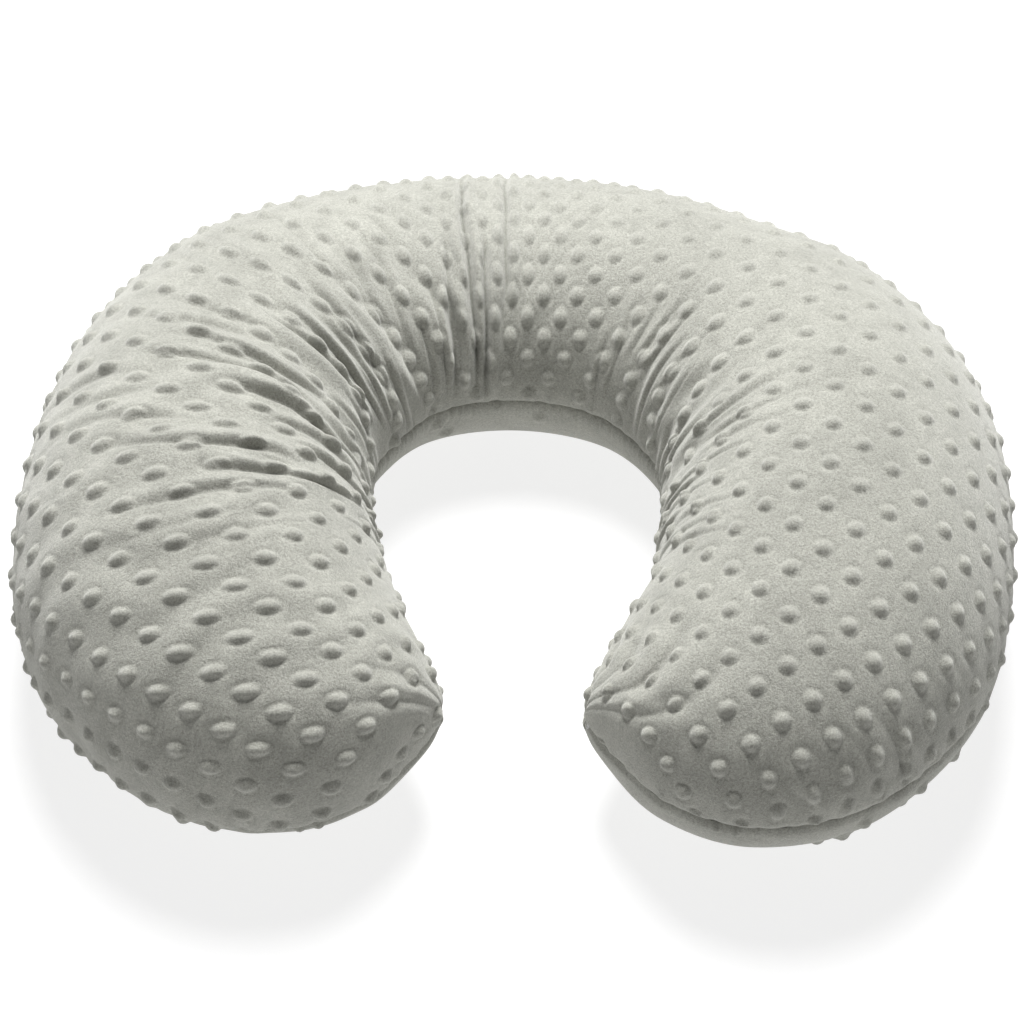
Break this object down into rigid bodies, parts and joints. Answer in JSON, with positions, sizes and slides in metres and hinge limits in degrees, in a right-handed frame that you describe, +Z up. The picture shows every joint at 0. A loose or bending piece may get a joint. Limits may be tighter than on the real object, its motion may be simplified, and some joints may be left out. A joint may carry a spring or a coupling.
{
  "type": "nursing pillow",
  "caption": "C-shaped feeding pillow: a zipped, dotted plush slip cover over a fibre-filled inner cushion, with an opening for the wearer's waist.",
  "frame": {"origin": "centre of the pillow's overall footprint, on the surface it lies on", "axes": "+X across the pillow from lobe to lobe, +Y towards the closed back where the zip is, the waist opening faces -Y, +Z up"},
  "size_m": [0.5266, 0.4213, 0.151],
  "materials": {
    "plush_cover": "warm light grey dotted plush",
    "cover_thread": "grey polyester thread",
    "zip_tape": "woven grey tape",
    "zip_coil": "grey nylon coil",
    "zip_metal": "grey painted zinc alloy",
    "care_label": "blank white satin tape",
    "inner_casing": "plain white polycotton",
    "casing_thread": "white polyester thread",
    "fibre_filling": "white polyester fibre"
  },
  "bodies": {
    "cushion": {"cover_top_panel": "plush_cover", "cover_bottom_panel": "plush_cover", "cover_seam_thread": "cover_thread", "zip_tape_upper": "zip_tape", "zip_tape_lower": "zip_tape", "zip_coil_upper": "zip_coil", "zip_coil_lower": "zip_coil", "zip_topstitch_upper": "cover_thread", "zip_topstitch_lower": "cover_thread", "zip_top_stop_upper": "zip_metal", "zip_top_stop_lower": "zip_metal", "zip_bottom_stop": "zip_metal", "care_label": "care_label", "inner_casing_top_panel": "inner_casing", "inner_casing_bottom_panel": "inner_casing", "inner_casing_seam_thread": "casing_thread", "fibre_filling": "fibre_filling"},
    "zip_slider": {"zip_slider_body": "zip_metal"},
    "pull_tab": {"zip_pull_tab": "zip_metal"}
  },
  "joints": [
    {"name": "zip_slider_travel", "type": "hinge", "parent": "cushion", "child": "zip_slider", "pos_m": [0, -0.1318, 0.055], "axis": [0, 0, 1], "range_deg": [0, 57]},
    {"name": "pull_tab_flip", "type": "hinge", "parent": "zip_slider", "child": "pull_tab", "pos_m": [0.16269, 0.16709, 0.055], "axis": [0, 0, -1], "range_deg": [0, 170]}
  ]
}
